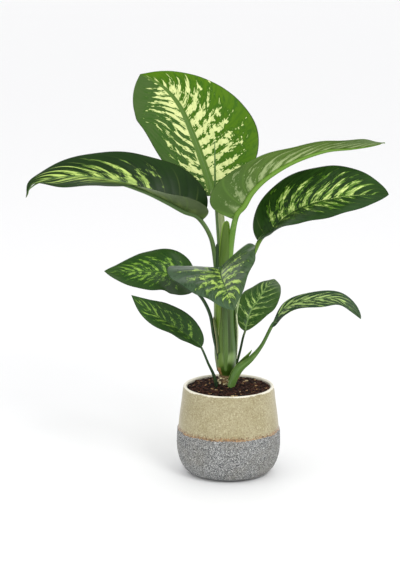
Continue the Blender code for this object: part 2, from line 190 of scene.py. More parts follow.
# Leaves, in mm. faces is which way a leaf looks at its base and its tip, lobes how far its base reaches back,
# sweep how far its veins slant, and relief how far it puffs up between them. A half is its width, how far it
# folds up at base and tip and how much it curls down in degrees, the two powers of its outline, and what that
# outline is multiplied by at equal steps from base to tip. Pairs are for the left and right halves.
# The pattern: reach is how far it goes towards the margin, flame how strong it is, valley its gaps between
# veins, then how ragged, flecked and blotched its edges are, core where its palest part starts, long its
# grain along the veins, starts where it begins from the base, and lines how clearly the veins show.
# usualLeaf holds what a leaf has unless it says otherwise.
usualLeaf = {
    "sweep": (0.3, 0.3), "ripples": 4.3, "through": 0.3, "valley": 0.46, "ragged": 1.2, "mottle": 0.4,
    "gloss": 0.36}
leaves = {
    "leafTop": {
        "midrib": points((-26, 30, 465.5), (-40, 54, 505), (-58, 78, 552), (-81, 98, 601),
                         (-110, 116, 633), (-148, 130, 653)),
        "faces": ((-0.1, -0.9, 0.3), (0, -0.9, 0.3)), "lobes": 4, "veins": 16, "sweep": (0.42, 0.17),
        "relief": 0.4, "wave": 0.9, "ripples": 3.3, "ribWidth": 8, "seed": 3.1,
        "left": (80, 8, 8, 10, 0.5, 0.45, (0.75, 0.8, 0.85, 0.88, 0.95, 1.06, 1.12)),
        "right": (99, 12, 8, 15, 0.45, 1.0, (1, 1, 1.05, 1.03, 0.88, 0.76, 0.7)),
        "deep": (tone(66, 92, 40), tone(74, 112, 0)), "shadow": tone(40, 84, 4), "mottle": 0.35,
        "pale": tone(212, 220, 150), "halo": tone(122, 152, 62), "rib": tone(80, 112, 40), "tint": 0.3,
        "under": tone(112, 150, 84), "glow": tone(190, 210, 140), "through": 0.35, "edge": tone(36, 54, 20),
        "reach": (0.52, 0.66), "flame": (0.28, 0.32), "valley": 0.42, "ragged": 1.1, "flecks": 0.9,
        "core": 0.0, "long": 20, "starts": -0.05, "blots": 1.25, "lines": 0.0, "gloss": 0.42},
    "leafLeft": {
        "midrib": points((-50, -8, 431.5), (-106, -20, 463.5), (-168, -32, 491), (-242, -43, 503.5),
                         (-308, -50, 495), (-325, -53, 471)),
        "faces": ((-0.3, -0.25, 0.9), (-0.4, -0.35, 0.8)), "lobes": 8, "veins": 13, "relief": 0.35,
        "wave": 1.2, "ribWidth": 2.6, "seed": 8.4,
        "left": (50, 60, -28, 10, 0.3, 0.9, (1.15, 1.02, 1, 1.08, 0.98, 0.1, 0.05)),
        "right": (60, 55, 25, 15, 0.3, 1.15, (1.05, 1.1, 1.1, 1.1, 1, 0.68, 0.8)),
        "deep": (tone(28, 54, 10), tone(20, 48, 0)), "shadow": tone(8, 34, 0), "mottle": 0.6,
        "pale": tone(184, 206, 110), "halo": tone(106, 138, 56), "rib": tone(84, 112, 60), "tint": 0.7,
        "under": tone(108, 126, 78), "glow": tone(140, 160, 90), "through": 0.25, "edge": tone(36, 50, 24),
        "reach": (0.6, 0.5), "flame": (0.3, 0.3), "flecks": 1.2, "core": 0.1, "long": 16, "starts": 0.2,
        "blots": 0.8, "lines": 0.06},
    "leafRightUpper": {
        "midrib": points((11, -8, 434), (38, -10, 479), (86, -8, 516), (154, 0, 540), (210, 6, 544),
                         (252, 10, 551)),
        "faces": ((-0.8, 0.3, 0.5), (-0.2, 0.45, 0.85)), "lobes": 7, "veins": 13, "relief": 1.0,
        "wave": 1.1, "ribWidth": 3.4, "seed": 12.7,
        "left": (50, 40, 35, 20, 0.3, 1.1, (1.1, 1.05, 1, 0.9, 0.95, 1.1, 1.2)),
        "right": (60, 50, -6, 10, 0.26, 1.1, (1.3, 1.05, 0.86, 0.72, 0.8, 2, 3.5)),
        "deep": (tone(44, 80, 30), tone(44, 80, 30)), "shadow": tone(28, 66, 24),
        "pale": tone(180, 205, 110), "halo": tone(104, 142, 56), "rib": tone(104, 142, 48), "tint": 0.5,
        "under": tone(94, 120, 54), "glow": tone(196, 212, 152), "through": 0.6, "edge": tone(60, 84, 34),
        "reach": (0.55, 0.6), "flame": (0.12, 0.16), "valley": 0.4, "flecks": 1.6, "core": 0.0, "long": 14,
        "starts": 0.0, "blots": 0.4, "lines": 0.0, "gloss": 0.38},
    "leafRightMiddle": {
        "midrib": points((52.5, 30, 389), (111, 10, 441), (181, -20, 466), (253, -50, 475)),
        "faces": ((-0.2, -0.8, 0.5), (-0.2, -0.8, 0.5)), "lobes": 6, "veins": 12, "relief": 0.4,
        "wave": 0.8, "ribWidth": 1.8, "seed": 17.2,
        "left": (66, 15, 15, 20, 0.4, 0.7, (0.86, 0.88, 0.91, 0.95, 1.01, 1.03, 1)),
        "right": (50, 75, 5, 10, 0.4, 0.85, (0.8, 0.95, 1.12, 1.15, 1.1, 1.04, 1)),
        "deep": (tone(38, 68, 20), tone(42, 70, 30)), "shadow": tone(10, 34, 4), "mottle": 0.5,
        "pale": tone(214, 232, 140), "halo": tone(88, 132, 34), "rib": tone(40, 72, 22), "tint": 0.8,
        "under": tone(96, 134, 66), "glow": tone(160, 190, 110), "edge": tone(24, 40, 20),
        "reach": (0.6, 0.36), "flame": (0.34, 0.16), "flecks": 1.5, "core": 0.14, "long": 22,
        "starts": 0.06, "blots": 1.0, "lines": 0.06},
    "leafLeftMiddle": {
        "midrib": points((-61, -5, 312), (-105, -20, 342), (-153, -40, 348), (-201, -60, 353)),
        "faces": ((-0.2, -0.7, 0.7), (-0.2, -0.7, 0.7)), "lobes": 3, "veins": 11, "relief": 0.35,
        "wave": 0.7, "ribWidth": 1.8, "seed": 23.9,
        "left": (46, 42, 0, 15, 0.6, 0.85, (1, 1.08, 1.18, 1.1, 1.04, 0.98, 1)),
        "right": (41, 20, 15, 20, 0.45, 0.9, (1, 1.12, 1.08, 0.98, 0.96, 0.8, 0.75)),
        "deep": (tone(46, 72, 28), tone(44, 72, 24)), "shadow": tone(24, 60, 18), "mottle": 0.5,
        "pale": tone(140, 176, 72), "halo": tone(84, 124, 38), "rib": tone(60, 94, 36), "tint": 0.7,
        "under": tone(90, 124, 66), "glow": tone(140, 170, 90), "edge": tone(30, 48, 22),
        "reach": (0.52, 0.52), "flame": (0.22, 0.2), "flecks": 1.6, "core": 0.12, "long": 12, "starts": 0.1,
        "blots": 1.5, "lines": 0.1},
    "leafLeftLower": {
        "midrib": points((-46, -30, 221), (-83, -50, 256), (-122, -70, 285), (-157, -85, 319)),
        "faces": ((-0.3, -0.7, 0.6), (-0.3, -0.7, 0.6)), "lobes": 1, "veins": 9, "relief": 0.35,
        "wave": 0.6, "ripples": 3.3, "ribWidth": 1.5, "seed": 31.3,
        "left": (26, 65, 10, 15, 0.5, 0.85, (0.7, 0.8, 0.95, 1, 1.02, 1.05, 0.8)),
        "right": (30, 20, 15, 20, 0.45, 0.85, (0.92, 0.94, 0.98, 1.02, 1.02, 0.86, 0.6)),
        "deep": (tone(48, 74, 32), tone(46, 72, 28)), "shadow": tone(28, 66, 26),
        "pale": tone(136, 170, 72), "halo": tone(84, 122, 42), "rib": tone(62, 94, 40), "tint": 0.7,
        "under": tone(90, 124, 66), "glow": tone(140, 170, 90), "edge": tone(30, 50, 26),
        "reach": (0.5, 0.5), "flame": (0.12, 0.12), "flecks": 1.4, "core": 0.04, "long": 9, "starts": 0.06,
        "blots": 1.3, "lines": 0.05, "gloss": 0.38},
    "leafFront": {
        "midrib": points((-14, -40, 353), (-14, -85, 350), (-9, -130, 343), (-3, -170, 334),
                         (4, -195, 319)),
        "faces": ((0.15, -0.2, 1), (0.1, -0.4, 0.9)), "lobes": 6, "veins": 9, "sweep": (0.28, 0.28),
        "relief": 0.7, "wave": 1.4, "ripples": 3.3, "ribWidth": 1.9, "seed": 38.6,
        "left": (74, 58, 50, 10, 0.3, 0.9, (0.96, 0.97, 1, 1, 0.94, 0.78, 0.6)),
        "right": (84, 4, 4, 10, 0.3, 0.9, (0.88, 1, 1.03, 0.98, 0.94, 0.9, 0.9)),
        "deep": (tone(68, 92, 58), tone(64, 88, 60)), "shadow": tone(22, 46, 18),
        "pale": tone(176, 204, 100), "halo": tone(92, 128, 52), "rib": tone(56, 84, 40), "tint": 0.6,
        "under": tone(96, 132, 76), "glow": tone(150, 180, 100), "edge": tone(36, 58, 36),
        "reach": (0.65, 0.6), "flame": (0.28, 0.28), "ragged": 1.4, "flecks": 1.5, "core": 0.1, "long": 16,
        "starts": 0.0, "blots": 1.1, "lines": 0.22, "gloss": 0.32},
    "leafRightSmall": {
        "midrib": points((28, 30, 234), (38, 45, 264), (52, 62, 281), (66, 85, 298), (80, 110, 305)),
        "faces": ((-0.2, -0.8, 0.5), (0.1, -0.5, 0.8)), "lobes": 1, "veins": 9, "sweep": (0.26, 0.26),
        "relief": 0.8, "wave": 0.6, "ripples": 3.3, "ribWidth": 1.5, "seed": 44.2,
        "left": (29, 20, 10, 20, 0.5, 0.7, (0.95, 0.98, 1, 1, 0.78, 0.58, 0.6)),
        "right": (34, 20, 10, 20, 0.6, 0.6, (0.85, 1.02, 1.06, 0.99, 0.94, 0.93, 0.95)),
        "deep": (tone(62, 88, 36), tone(66, 92, 40)), "shadow": tone(30, 66, 26),
        "pale": tone(170, 194, 112), "halo": tone(84, 116, 52), "rib": tone(112, 144, 76), "tint": 0.5,
        "under": tone(90, 124, 70), "glow": tone(150, 180, 100), "edge": tone(36, 58, 30),
        "reach": (0.7, 0.7), "flame": (0.16, 0.16), "valley": 0.36, "flecks": 1.3, "core": 0.12, "long": 16,
        "starts": 0.0, "blots": 0.5, "lines": 0.5, "gloss": 0.34},
    "leafRightLower": {
        "midrib": points((70, -40, 259), (90.5, -48, 290), (126, -58, 305), (174, -70, 308),
                         (209, -85, 280)),
        "faces": ((-0.3, -0.5, 0.8), (0.3, -0.6, 0.7)), "lobes": 2, "veins": 10, "relief": 0.5, "wave": 0.7,
        "ripples": 3.3, "ribWidth": 1.5, "seed": 51.8,
        "left": (19, 30, 30, 20, 0.65, 0.7, (0.35, 0.5, 0.58, 0.68, 0.78, 1.05, 1.6)),
        "right": (24, 30, 10, 20, 0.5, 0.75, (0.9, 0.9, 0.78, 0.86, 1.04, 0.55, 0.2)),
        "deep": (tone(48, 72, 44), tone(48, 72, 44)), "shadow": tone(30, 52, 30),
        "pale": tone(170, 196, 116), "halo": tone(92, 118, 70), "rib": tone(60, 92, 50), "tint": 0.5,
        "under": tone(90, 124, 70), "glow": tone(150, 180, 100), "edge": tone(30, 52, 32),
        "reach": (0.75, 0.75), "flame": (0.26, 0.26), "valley": 0.4, "ragged": 1.3, "flecks": 1.4,
        "core": 0.04, "long": 9, "starts": 0.02, "blots": 1.3, "lines": 0.5},
}
for leafSettings in leaves.values():
    leafSettings.update({key: value for key, value in usualLeaf.items() if key not in leafSettings})
bladeBuild = {
    "thickness": 0.7 * mm, "frameReach": 0.12, "step": 1.7 * mm, "ringGain": 1.25, "lobePower": 8,
    "lobeReach": 1.5, "sweepPower": 1.1, "sweepStart": 0.55, "quiltPower": 0.7, "quiltLow": 0.6,
    "halfShift": 0.37, "cloudAlong": 6, "cloudAcross": 2, "cloudGain": 1.6, "channel": 0.08,
    "channelWidth": 0.7, "edgePower": 6, "ribTip": 0.12, "ribPower": 0.9}


def bladeFrame(leaf, along):  # a place on the midrib, and which way up, side and ahead are there
    midrib, reach = leaf["midrib"], bladeBuild["frameReach"]
    ahead = smoothPoint(midrib, min(along + reach, 1)) - smoothPoint(midrib, max(along - reach, 0))
    ahead.normalize()
    face = Vector(leaf["faces"][0]).lerp(Vector(leaf["faces"][1]), along)
    side = face.cross(ahead).normalized()
    return smoothPoint(midrib, along), ahead.cross(side), side, ahead


def bladeWidth(along, towardsBase, towardsTip, swells):
    widest = towardsBase / (towardsBase + towardsTip)
    plain = (along / widest) ** towardsBase * ((1 - along) / (1 - widest)) ** towardsTip
    return plain * smoothPoint(swells, along)


def routeLength(route, steps=120):
    spots = [smoothPoint(route, step / steps) for step in range(steps + 1)]
    return sum((b - a).length for a, b in zip(spots, spots[1:]))


def makeLeaf(name, leaf):
    bm = bmesh.new()
    rings = round(routeLength(leaf["midrib"]) / bladeBuild["step"] * bladeBuild["ringGain"])
    around = 4 * round((leaf["left"][0] + leaf["right"][0]) * mm / bladeBuild["step"] / 2)
    bmesh.ops.create_uvsphere(bm, v_segments=rings, u_segments=around, radius=1)
    mesh = bpy.data.meshes.new(name)
    bm.to_mesh(mesh)
    bm.free()
    ball = np.empty(len(mesh.vertices) * 3)
    mesh.vertices.foreach_get("co", ball)
    ball = ball.reshape(-1, 3)
    stations, ring = np.unique(np.round((1 - ball[:, 2]) / 2, 6).clip(0, 1), return_inverse=True)
    ring = ring.ravel()
    frames = [bladeFrame(leaf, station) for station in stations]
    spot, up, side, ahead = [np.array([entry[part] for entry in frames])[ring] for part in range(4)]
    along = stations[ring]
    turn = np.arctan2(ball[:, 1], ball[:, 0]) / math.pi
    across = 1 - 2 * abs(turn)
    reach, leftHalf = abs(across), across > 0
    faceSign = np.where((reach > 0.9999) | (along == 0) | (along == 1), 0, np.sign(turn))

    def perHalf(values):  # a value for each half, spread over the points
        return np.where(leftHalf, *values)

    pairs = [(leaf["left"][part], leaf["right"][part]) for part in range(4)]
    widths, foldBases, foldTips, curls = [perHalf(pair) for pair in pairs]
    outlines = [[bladeWidth(station, *leaf[half][4:]) for station in stations] for half in ("left", "right")]
    half = widths * mm * perHalf([np.array(outline)[ring] for outline in outlines])
    fold, curl = np.radians(foldBases + (foldTips - foldBases) * along), np.radians(curls)
    slope = fold - curl * reach
    out = half * (np.sin(fold) - np.sin(slope)) / curl
    lift = half * (np.cos(slope) - np.cos(fold)) / curl
    back = leaf["lobes"] * mm * reach ** bladeBuild["lobeReach"] * (1 - along) ** bladeBuild["lobePower"]
    normal = up * np.cos(slope)[:, None] - side * (np.sign(across) * np.sin(slope))[:, None]
    sweep = perHalf(leaf["sweep"]) * reach ** bladeBuild["sweepPower"]
    phase = leaf["veins"] * (along - sweep * np.minimum(1, along / bladeBuild["sweepStart"]))
    distance = reach * half

    def easeIn(value, low, high):
        share = ((value - low) / (high - low)).clip(0, 1)
        return share * share * (3 - 2 * share)

    quilt = abs(np.sin(math.pi * phase)) ** bladeBuild["quiltPower"] - bladeBuild["quiltLow"]
    height = leaf["relief"] * quilt * easeIn(reach, 0.02, 0.2) * (1 - easeIn(reach, 0.85, 1))
    height *= easeIn(along, 0, 0.1) * easeIn(1 - along, 0, 0.4)  # flat at the base and the tip
    ripple = along * leaf["ripples"] + leaf["seed"] + leftHalf * bladeBuild["halfShift"]
    ripple = np.sin(2 * math.pi * ripple)
    height += leaf["wave"] * reach ** 3 * ripple * easeIn(1 - along, 0, 0.15)
    alongScale, acrossScale = bladeBuild["cloudAlong"], bladeBuild["cloudAcross"]
    cloud = np.array([noise.noise(Vector((a * alongScale, b * acrossScale, leaf["seed"])))
                      for a, b in zip(along, across)])
    height += leaf["wave"] * bladeBuild["cloudGain"] * cloud * easeIn(reach, 0, 0.5)
    ribTip = bladeBuild["ribTip"]
    rib = leaf["ribWidth"] * mm * (ribTip + (1 - ribTip) * (1 - along) ** bladeBuild["ribPower"])
    channel = np.exp(-(distance / (bladeBuild["channelWidth"] * rib)) ** 2) * easeIn(along, 0, 0.06)
    height -= bladeBuild["channel"] * leaf["ribWidth"] * channel
    thick = bladeBuild["thickness"] / 2 * faceSign
    thick = thick * np.sqrt((1 - reach ** bladeBuild["edgePower"]).clip(0, 1))
    place = (spot + side * (np.sign(across) * out)[:, None] + up * lift[:, None] - ahead * back[:, None]
             + normal * (height * mm + thick)[:, None])
    mesh.vertices.foreach_set("co", place.ravel())
    # The vein numbers of the two halves are kept apart, so that their patterns differ.
    kept = {"blade": (along, across, faceSign), "vein": (phase + leftHalf * 100, distance, 0 * distance)}
    for attribute, values in kept.items():
        layer = mesh.attributes.new(attribute, "FLOAT_VECTOR", "POINT")
        layer.data.foreach_set("vector", np.stack(values, 1).astype(np.float32).ravel())
    mesh.update()
    bm = bmesh.new()
    bm.from_mesh(mesh)
    bpy.data.meshes.remove(mesh)
    bmesh.ops.recalc_face_normals(bm, faces=bm.faces)
    addPiece(name, bm, leafMaterial(name, leaf), "leaf_green", nodeName(name))


# What the leaves' finishes share. streak, fleck and blot are a noise's scale across and along the veins,
# its seed's offset, detail, roughness and distortion. A pair is where a mask starts and where it is full,
# the other way round for one that fades out, and a third value after a pair is how strong it is.
leafLook = {
    "streak": (2.2, 1, 0, 4, 0.65, 0.6), "fleck": (9, 0.4, 9, 3, 0.6, 0.4),
    "blot": (1.2, 0.55, 3, 2, 0.5, 1.2), "veinStep": 7.3, "halfStep": 5, "varyLow": 0.65, "varyGain": 0.7,
    "startSoft": 0.12, "tipFade": (0.03, 0.26), "full": 1.25, "endDrop": 0.12, "marginFade": (0.55, 0.95),
    "marginDrop": 0.15, "haloRise": (-0.05, 0.01, 0.75), "coreSoft": 0.06, "clouds": 24,
    "mottle": (0.4, 0.75), "valley": (0.25, 0.0, 0.3), "gap": (-0.42, -0.04, 0.75), "tintScale": 1.3,
    "tintLength": 9 * mm, "tintSeed": 5, "tint": (0.38, 0.66), "line": (0.88, 1.0), "ribEdge": (1.1, 0.8),
    "puffHighlightReach": 1.5, "puffHighlightRagged": 0.9, "puff": (0.05, 0.75, 0.55), "underMottle": (0.35, 0.8, 0.35),
    "underBase": (0.4, 0.1, 0.4), "underVein": (0.2, 0.0, 0.25), "margin": (0.972, 0.995, 0.6),
    "shine": 0.15, "grain": (900, 2), "grainBump": (0.12 * mm, 0.5), "cloudGloss": 0.16, "glossLow": 0.08,
    "underRough": 0.12}


def leafMaterial(name, leaf):
    look, seed = leafLook, leaf["seed"]
    material, w = newMaterial(name + "Skin")
    along, across, faceSign = w.attribute("blade").parts()
    phase, distance = w.attribute("vein").parts()[:2]
    reach, upper, leftHalf, vein = abs(across), faceSign > 0, across > 0, phase.ripple()

    def alongVeins(scale, length, offset, detail, roughness, distortion):
        place = w.join(phase * scale, distance / (leaf["long"] * mm * length), seed + offset)
        return w.noise(place, 1, detail, roughness, distortion)

    def forHalf(pair):
        return leftHalf * (pair[0] - pair[1]) + pair[1]

    # The flame: its level is above 0 where the pale pattern lies.
    streak, fleck, blot = [alongVeins(*look[kind]) for kind in ("streak", "fleck", "blot")]
    vary = w.noise(w.join(w.sums("FLOOR", phase) * look["veinStep"], leftHalf * look["halfStep"], seed), 1, 0)
    limit = forHalf(leaf["reach"]) * (vary * look["varyGain"] + look["varyLow"])
    ends = along.rise(leaf["starts"], leaf["starts"] + look["startSoft"]) * (1 - along).rise(*look["tipFade"])
    nearMargin = reach.rise(*look["marginFade"])
    level = forHalf(leaf["flame"]) * (ends * look["full"] - reach / limit) - (1 - ends) * look["endDrop"]
    level = level - nearMargin * look["marginDrop"] - (1 - vein) * leaf["valley"]
    for pattern, share in ((streak, leaf["ragged"]), (fleck, leaf["flecks"]), (blot, leaf["blots"])):
        level = level + (pattern - 0.5) * share
    patch = level.rise(leaf["core"], leaf["core"] + look["coreSoft"])
    cloud = w.noise(w.place(), look["clouds"])

    # The face: greens, the flame's halo and core, the veins' lines and the rib.
    top = leftHalf.mix(leaf["deep"][1], leaf["deep"][0])
    top = cloud.lay(top, leaf["shadow"], *look["mottle"], leaf["mottle"])
    # Painted shade: darker green in the grooves along the veins.
    top = vein.lay(top, leaf["shadow"], *look["valley"])
    top = level.lay(top, leaf["shadow"], *look["gap"])
    tintPlace = w.join(phase * look["tintScale"], distance / look["tintLength"], seed + look["tintSeed"])
    pale = w.noise(tintPlace, 1).lay(leaf["pale"], leaf["halo"], *look["tint"], leaf["tint"])
    top = patch.mix(level.lay(top, leaf["halo"], *look["haloRise"]), pale)
    top = (vein.rise(*look["line"]) * (1 - nearMargin) * leaf["lines"]).mix(top, leaf["pale"])
    ribFull, ribTip = leaf["ribWidth"] * mm, bladeBuild["ribTip"]
    ribWidth = (1 - along) ** bladeBuild["ribPower"] * ((1 - ribTip) * ribFull) + ribTip * ribFull
    top = (distance / ribWidth).rise(*look["ribEdge"]).mix(top, leaf["rib"])

    # The back: the pattern shows through it, with a painted highlight on the puffs between the veins.
    below = (patch * leaf["through"]).mix(leaf["under"], leaf["glow"])
    puff = vein - reach * look["puffHighlightReach"] + (streak - 0.5) * look["puffHighlightRagged"]
    below = puff.lay(below, leaf["glow"], *look["puff"])
    below = cloud.lay(below, leaf["deep"][1], *look["underMottle"])
    below = along.lay(below, leaf["deep"][1], *look["underBase"])
    below = vein.lay(below, leaf["halo"], *look["underVein"])

    colour = reach.lay(upper.mix(below, top), leaf["edge"], *look["margin"])
    rough = cloud * look["cloudGloss"] + (leaf["gloss"] - look["glossLow"]) + (1 - upper) * look["underRough"]
    dress(w, colour=colour, roughness=rough, specular=look["shine"],
          normal=w.bump(w.noise(w.place(), *look["grain"]), *look["grainBump"]))
    return material


# Stalks. The route is followed by the leaf's own midrib, so each stalk runs on as the rib under its leaf.
# Radii are in mm, and the channel's and lips' turns and widths are in radians round the stalk.
stalks = {
    "stalkTop": {
        "route": points((-11, 8.5, 322), (-11.5, 13, 354), (-12, 19, 405), (-15.5, 25, 440),
                        (-26, 30, 464.5)),
        "radii": (7.2, 6.6, 6, 5.6, 4.6), "low": tone(166, 190, 108), "high": tone(202, 218, 156)},
    "stalkLeft": {
        "route": points((-19.7, -1.5, 322), (-21.5, -2, 354), (-30, -5, 398), (-50, -8, 430.5)),
        "radii": (4.8, 4.6, 3.9, 3.8), "low": tone(76, 98, 50), "high": tone(90, 114, 62)},
    "stalkRightUpper": {
        "route": points((-0.5, -3, 322), (-1.5, -4, 350), (3, -6, 393), (11, -8, 433)),
        "radii": (7.8, 7.2, 5.8, 4.6), "low": tone(110, 146, 54), "high": tone(92, 132, 44)},
    "stalkRightMiddle": {
        "route": points((2, 12, 208), (10, 20, 262), (18.5, 23, 303), (32, 27, 341), (52, 30, 388)),
        "radii": (4, 4, 3.6, 3.4, 3.6), "low": tone(176, 192, 146), "high": tone(110, 144, 46)},
    "stalkLeftMiddle": {
        "route": points((-11, 0, 172), (-24, -7.5, 229), (-31, -8, 269), (-45, -8, 298), (-60, -5, 311)),
        "radii": (3, 3, 2.8, 2.7, 2.6), "low": tone(40, 60, 30), "high": tone(38, 62, 34)},
    "stalkLeftLower": {
        "route": points((-18, -9, 130), (-20.5, -9, 148), (-25.5, -12, 169), (-34, -18, 189),
                        (-46, -30, 220)),
        "radii": (3.2, 3, 2.5, 2, 1.8), "low": tone(22, 38, 22), "high": tone(40, 66, 34)},
    # This stalk's low colour is a painted highlight. It carries the stem bulge's painted highlight on where
    # the stalk runs over the bulge.
    "stalkFront": {
        "route": points((-5, -3, 172), (-6, -19, 240), (-8, -22, 297), (-14, -38.5, 350)),
        "radii": (4.5, 4.2, 4, 4), "low": tone(92, 120, 56), "high": tone(34, 54, 10)},
    "stalkRightSmall": {
        "route": points((6, 12, 154), (18.5, 20, 198), (24, 24, 222), (28, 30, 233.5)),
        "radii": (2.2, 2.1, 1.9, 1.9), "low": tone(30, 48, 20), "high": tone(34, 54, 22)},
    "stalkRightLower": {
        "route": points((-1, -12, 128), (4, -13, 150), (16, -18, 179), (37, -24.5, 200), (54, -30.5, 224),
                        (69.5, -39.5, 258.5)),
        "radii": (5.5, 6, 7, 4.8, 3, 2.8), "low": tone(104, 140, 66), "high": tone(70, 102, 38)},
}
tubeBuild = {"step": 1.6 * mm, "fewest": 12, "fine": 600}
stalkBuild = {
    "around": 36, "ribStations": (0.08, 0.18, 0.3, 0.45, 0.6, 0.75, 0.88, 0.97), "ribPower": 0.85,
    "ribTip": 0.35, "ribSink": 0.75, "ribGap": 0.5, "channelEnd": (0.75, 1.1), "channelDepth": 0.28,
    "channelWidth": 0.5, "lipHeight": 0.1, "lipTurn": 0.9, "lipWidth": 0.3}
stalkLook = {
    "fibres": (5, 14, 3.3, 1.6), "clouds": 60, "fade": (0.0, 0.92), "fibre": (0.35, 0.7, 0.35),
    "fibreTone": tone(44, 80, 34), "channel": (0.14, 0.02, 0.25), "cloud": (0.55, 0.75, 0.25),
    "cloudTone": tone(150, 170, 90), "ribStart": (0.98, 1.04), "bump": (0.4 * mm, 0.4)}


def evenRoute(route, radii, count):  # places and radii at equal steps along the curve, and its length
    fine = tubeBuild["fine"]
    sizes = [Vector((radius * mm, 0, 0)) for radius in radii]
    spots = [smoothPoint(route, step / fine) for step in range(fine + 1)]
    widths = [smoothPoint(sizes, step / fine).x for step in range(fine + 1)]
    runs = [0]
    for a, b in zip(spots, spots[1:]):
        runs.append(runs[-1] + (b - a).length)
    found, index = [], 0
    for step in range(count + 1):
        goal = runs[-1] * step / count
        while index < fine - 1 and runs[index + 1] < goal:
            index += 1
        part = (goal - runs[index]) / max(runs[index + 1] - runs[index], 1e-9)
        width = widths[index] + (widths[index + 1] - widths[index]) * part
        found.append((spots[index].lerp(spots[index + 1], part), width))
    return found, runs[-1]


def stepsAlong(route):
    return max(tubeBuild["fewest"], round(routeLength(route) / tubeBuild["step"]))


def directions(found):  # which way the route runs at each of its places
    last = len(found) - 1
    return [(found[min(i + 1, last)][0] - found[max(i - 1, 0)][0]).normalized() for i in range(last + 1)]


def makeTube(route, radii, up, upShare, shape, around):  # up is carried along from upShare of the length
    count = stepsAlong(route)
    found, length = evenRoute(route, radii, count)
    aheads = directions(found)
    ups = [None] * (count + 1)
    start = round(upShare * count)
    ups[start] = (up - aheads[start] * up.dot(aheads[start])).normalized()
    for i in [*range(start - 1, -1, -1), *range(start + 1, count + 1)]:
        last = ups[i + 1] if i < start else ups[i - 1]
        ups[i] = (last - aheads[i] * last.dot(aheads[i])).normalized()
    bm = bmesh.new()
    skin = bm.verts.layers.float_vector.new("skin")
    bmesh.ops.create_uvsphere(bm, u_segments=around, v_segments=count, radius=1)
    for vert in bm.verts:
        share = math.acos(min(max(vert.co.z, -1), 1)) / math.pi
        index = round(share * count)
        spot, radius = found[index]
        turn = math.atan2(vert.co.y, vert.co.x)
        end = min(share, 1 - share) * length / radius
        cap = math.sqrt(max(0, 1 - (1 - min(end, 1)) ** 2))
        side = aheads[index].cross(ups[index])
        size = shape(turn, share, radius) * cap if 0 < index < count else 0
        vert.co = spot + (ups[index] * math.cos(turn) + side * math.sin(turn)) * size
        vert[skin] = (share * length, turn / math.pi, share)
    bmesh.ops.recalc_face_normals(bm, faces=bm.faces)
    return bm


def stalkMaterial(name, stalk, ribTone, stalkShare):
    look = stalkLook
    material, w = newMaterial(name + "Skin")
    run, turn, share = w.attribute("skin").parts()
    fibres, onStalk = w.fibres(turn, run, *look["fibres"]), share / stalkShare
    colour = onStalk.rise(*look["fade"]).mix(stalk["low"], stalk["high"])
    colour = fibres.lay(colour, look["fibreTone"], *look["fibre"])
    colour = abs(turn).lay(colour, stalk["high"], *look["channel"])
    colour = w.noise(w.place(), look["clouds"]).lay(colour, look["cloudTone"], *look["cloud"])
    colour = onStalk.rise(*look["ribStart"]).mix(colour, ribTone)
    dress(w, colour=colour, roughness=fibres * 0.2 + 0.3, specular=0.3, normal=w.bump(fibres, *look["bump"]))
    return material


def makeStalk(name, stalk):
    leaf, build = leaves[name.replace("stalk", "leaf")], stalkBuild
    route, radii = list(stalk["route"]), list(stalk["radii"])
    for along in build["ribStations"]:
        spot, up = bladeFrame(leaf, along)[:2]
        radius = stalk["radii"][-1] * (1 - along) ** build["ribPower"] + build["ribTip"]
        route.append(spot - up * (radius * build["ribSink"] + build["ribGap"]) * mm)
        radii.append(radius)
    stalkShare = routeLength(stalk["route"]) / routeLength(route)

    def shape(turn, share, radius):  # a shallow channel between two lips, on the side that faces the stem
        low = 1 - ease(share / stalkShare, *build["channelEnd"])
        channel = build["channelDepth"] * math.exp(-(turn / build["channelWidth"]) ** 2)
        lips = build["lipHeight"] * math.exp(-((abs(turn) - build["lipTurn"]) / build["lipWidth"]) ** 2)
        return radius * (1 - low * channel + low * lips)

    bm = makeTube(route, radii, bladeFrame(leaf, 0)[1], stalkShare, shape, build["around"])
    addPiece(name, bm, stalkMaterial(name, stalk, leaf["rib"], stalkShare), "stalk_green", nodeName(name))


for leafName, leafSettings in leaves.items():
    makeLeaf(leafName, leafSettings)
print("leaves done")
for stalkName, stalkSettings in stalks.items():
    makeStalk(stalkName, stalkSettings)
print("stalks done")

# The rolled young leaf: a slender roll with a free edge that winds up it.
spear = {
    "route": points((-13, -7, 322), (-17.5, -5, 386), (-22.5, -5, 468), (-24, -4, 556)),
    "radii": (3.2, 2.4, 2.1, 0.6), "around": 48, "turns": 1.3, "step": 0.22, "low": tone(62, 84, 36),
    "high": tone(72, 108, 46), "fade": (0.1, 0.9), "fibres": (3, 20, 1.7, 2), "lineTone": tone(120, 150, 70),
    "line": (0.4, 0.7, 0.5), "bump": (0.3 * mm, 0.4)}
towardsViewer = Vector((0, -1, 0))


def makeSpear():
    def shape(turn, share, radius):
        winding = (turn / (2 * math.pi) + share * spear["turns"]) % 1
        return radius * (1 + spear["step"] * (winding - 0.5))

    bm = makeTube(spear["route"], spear["radii"], towardsViewer, 0, shape, spear["around"])
    material, w = newMaterial("spearSkin")
    run, turn, share = w.attribute("skin").parts()
    lines = w.fibres(turn, run, *spear["fibres"])
    colour = share.rise(*spear["fade"]).mix(spear["low"], spear["high"])
    colour = lines.lay(colour, spear["lineTone"], *spear["line"])
    dress(w, colour=colour, roughness=0.38, normal=w.bump(lines, *spear["bump"]))
    addPiece("spear", bm, material, "young_leaf", "new_leaf")


makeSpear()

